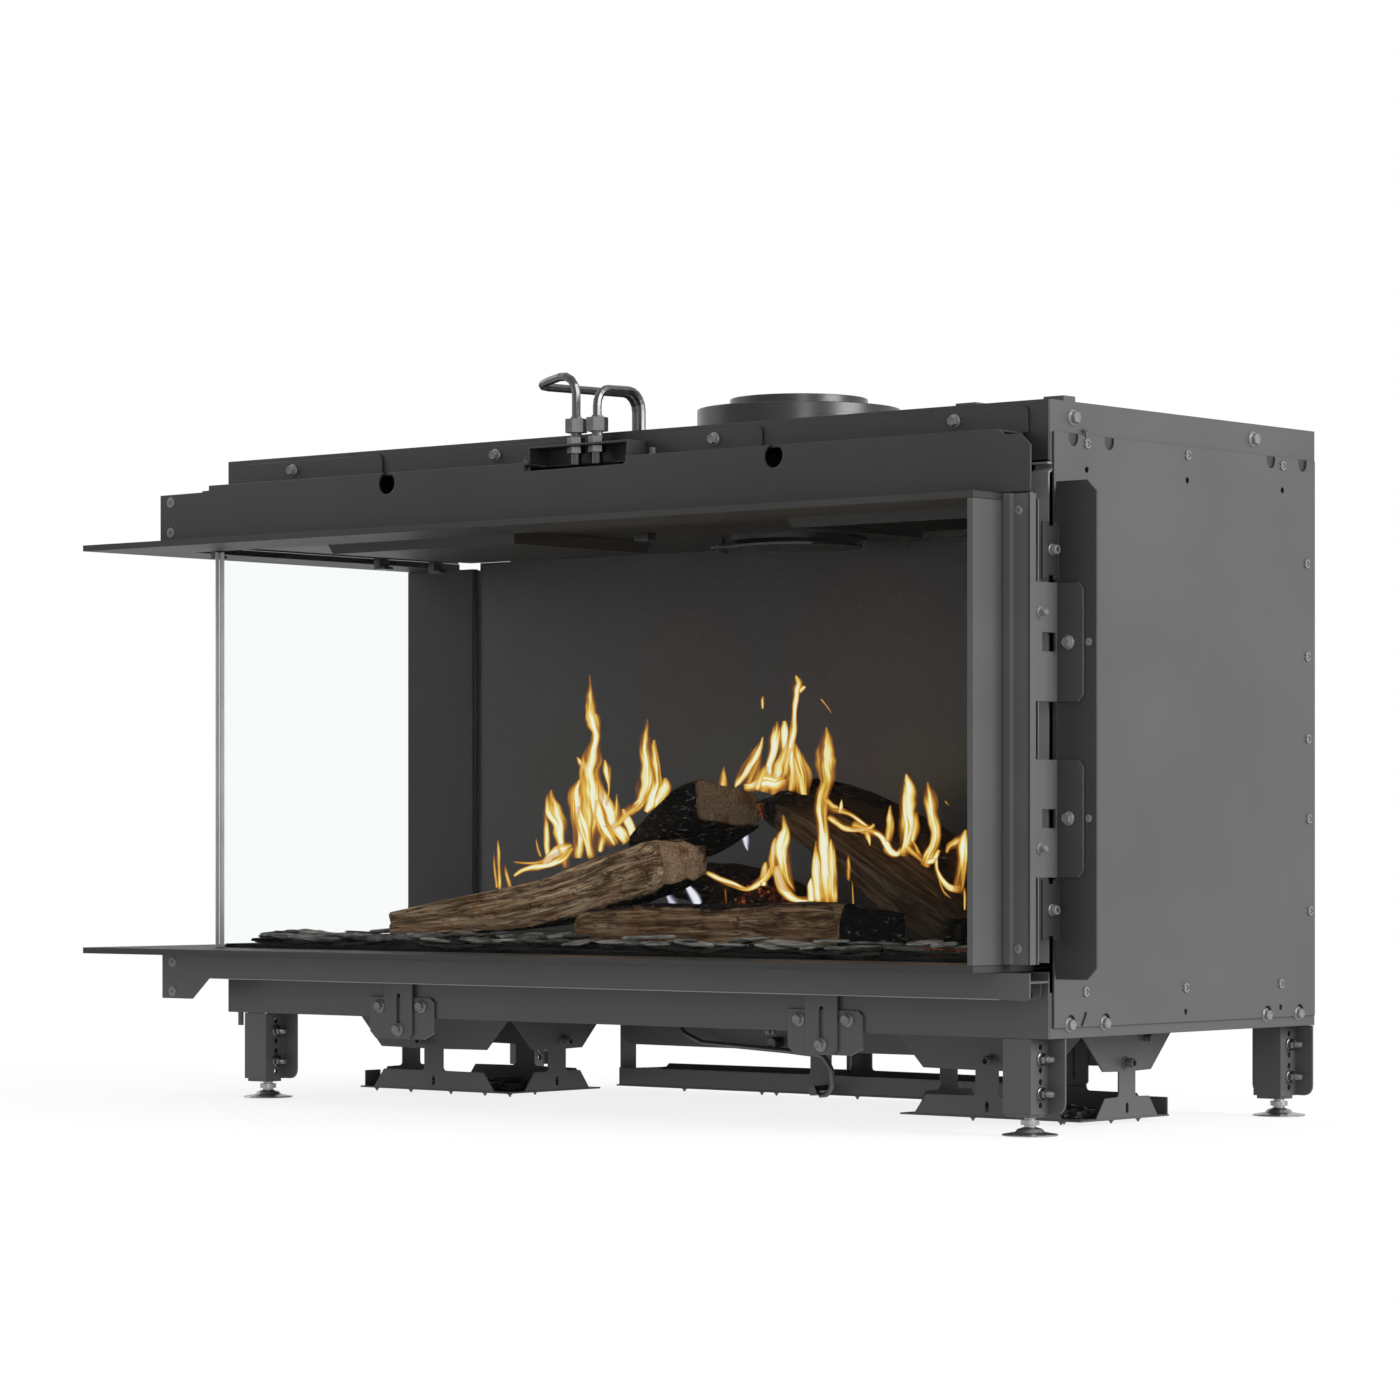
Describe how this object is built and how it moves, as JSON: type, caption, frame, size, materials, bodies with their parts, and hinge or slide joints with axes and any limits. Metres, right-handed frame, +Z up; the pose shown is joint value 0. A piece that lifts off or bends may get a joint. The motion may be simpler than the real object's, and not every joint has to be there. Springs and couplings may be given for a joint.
{
  "type": "gas fireplace",
  "caption": "Built-in two-sided gas fireplace with corner glass, log set, concentric flue collar, gas pipes, under-body trays and telescopic levelling legs.",
  "frame": {"origin": "centre of the footprint, at floor level under the levelling feet", "axes": "+X to the right as seen from the front glass, +Y towards the back panel, +Z up"},
  "size_m": [1.1964, 0.513, 0.6967],
  "materials": {
    "graphite_paint": "satin graphite powder coat",
    "firebox_black": "matt heat-resistant black",
    "bright_steel": "zinc plated",
    "log_bark": "moulded and painted as split wood",
    "log_char": "moulded and painted as charred wood",
    "slate": "riven chips",
    "clear_glass": "clear ceramic glass"
  },
  "bodies": {
    "fireplace": {"casing_top": "graphite_paint", "casing_bottom": "graphite_paint", "casing_back": "graphite_paint", "header_plate": "graphite_paint", "lower_beam": "graphite_paint", "side_panel_right": "graphite_paint", "front_post_right": "graphite_paint", "firebox_back": "firebox_black", "firebox_right": "firebox_black", "firebox_ceiling": "firebox_black", "ceiling_duct_left": "firebox_black", "ceiling_duct_right": "firebox_black", "burner_deck": "firebox_black", "burner_bar": "bright_steel", "slate_bed": "slate", "log_long_left": "log_bark", "log_front": "log_bark", "log_top_chunk": "log_char", "log_leaning_right": "log_bark", "log_rear_right": "log_char", "log_rear_middle": "log_char", "flue_collar_outer": "graphite_paint", "flue_liner_inner": "graphite_paint", "frame_flange_top": "graphite_paint", "frame_flange_bottom": "graphite_paint", "frame_flange_right": "graphite_paint", "frame_flange_rear": "graphite_paint", "trim_lintel_front": "graphite_paint", "trim_lintel_left": "graphite_paint", "trim_fascia_front": "graphite_paint", "trim_fascia_left": "graphite_paint", "trim_stile_right": "graphite_paint", "side_mount_plate": "graphite_paint", "pipe_bracket": "graphite_paint", "gas_pipe_long": "bright_steel", "gas_pipe_short": "bright_steel", "tray_left": "graphite_paint", "tray_right": "graphite_paint", "tray_centre": "graphite_paint", "tray_tube": "bright_steel", "bracket_back_left": "graphite_paint", "bracket_back_right": "graphite_paint", "leg_channel_front_right": "graphite_paint", "leg_channel_front_left": "graphite_paint", "leg_channel_rear_right": "graphite_paint", "leg_channel_rear_left": "graphite_paint"},
    "leg_front_right": {"leg_slide_front_right": "bright_steel"},
    "levelling_foot_front_right": {"foot_front_right": "bright_steel"},
    "leg_front_left": {"leg_slide_front_left": "bright_steel"},
    "levelling_foot_front_left": {"foot_front_left": "bright_steel"},
    "leg_rear_right": {"leg_slide_rear_right": "bright_steel"},
    "levelling_foot_rear_right": {"foot_rear_right": "bright_steel"},
    "leg_rear_left": {"leg_slide_rear_left": "bright_steel"},
    "levelling_foot_rear_left": {"foot_rear_left": "bright_steel"},
    "slotted_plate_left": {"slotted_plate_left": "graphite_paint"},
    "slotted_plate_right": {"slotted_plate_right": "graphite_paint"},
    "restrictor": {"flue_restrictor": "bright_steel"},
    "front_glass_panel": {"glass_front": "clear_glass"},
    "left_glass_panel": {"glass_left": "clear_glass"}
  },
  "joints": [
    {"name": "leg_extension_front_right", "type": "slide", "parent": "fireplace", "child": "leg_front_right", "axis": [0, 0, -1], "range_m": [0, 0.03]},
    {"name": "foot_screw_front_right", "type": "slide", "parent": "leg_front_right", "child": "levelling_foot_front_right", "axis": [0, 0, -1], "range_m": [0, 0.01]},
    {"name": "leg_extension_front_left", "type": "slide", "parent": "fireplace", "child": "leg_front_left", "axis": [0, 0, -1], "range_m": [0, 0.03]},
    {"name": "foot_screw_front_left", "type": "slide", "parent": "leg_front_left", "child": "levelling_foot_front_left", "axis": [0, 0, -1], "range_m": [0, 0.01]},
    {"name": "leg_extension_rear_right", "type": "slide", "parent": "fireplace", "child": "leg_rear_right", "axis": [0, 0, -1], "range_m": [0, 0.03]},
    {"name": "foot_screw_rear_right", "type": "slide", "parent": "leg_rear_right", "child": "levelling_foot_rear_right", "axis": [0, 0, -1], "range_m": [0, 0.01]},
    {"name": "leg_extension_rear_left", "type": "slide", "parent": "fireplace", "child": "leg_rear_left", "axis": [0, 0, -1], "range_m": [0, 0.03]},
    {"name": "foot_screw_rear_left", "type": "slide", "parent": "leg_rear_left", "child": "levelling_foot_rear_left", "axis": [0, 0, -1], "range_m": [0, 0.01]},
    {"name": "slotted_plate_slide_left", "type": "slide", "parent": "fireplace", "child": "slotted_plate_left", "axis": [0, 0, -1], "range_m": [0, 0.026]},
    {"name": "slotted_plate_slide_right", "type": "slide", "parent": "fireplace", "child": "slotted_plate_right", "axis": [0, 0, -1], "range_m": [0, 0.026]},
    {"name": "restrictor_swing", "type": "hinge", "parent": "fireplace", "child": "restrictor", "pos_m": [-0.03065, 0.073, 0.546], "axis": [0, 0, 1], "range_deg": [0, 40]},
    {"name": "front_glass_removal", "type": "slide", "parent": "fireplace", "child": "front_glass_panel", "axis": [0, -1, 0], "range_m": [0, 0.07]},
    {"name": "left_glass_removal", "type": "slide", "parent": "fireplace", "child": "left_glass_panel", "axis": [-1, 0, 0], "range_m": [0, 0.09]}
  ]
}
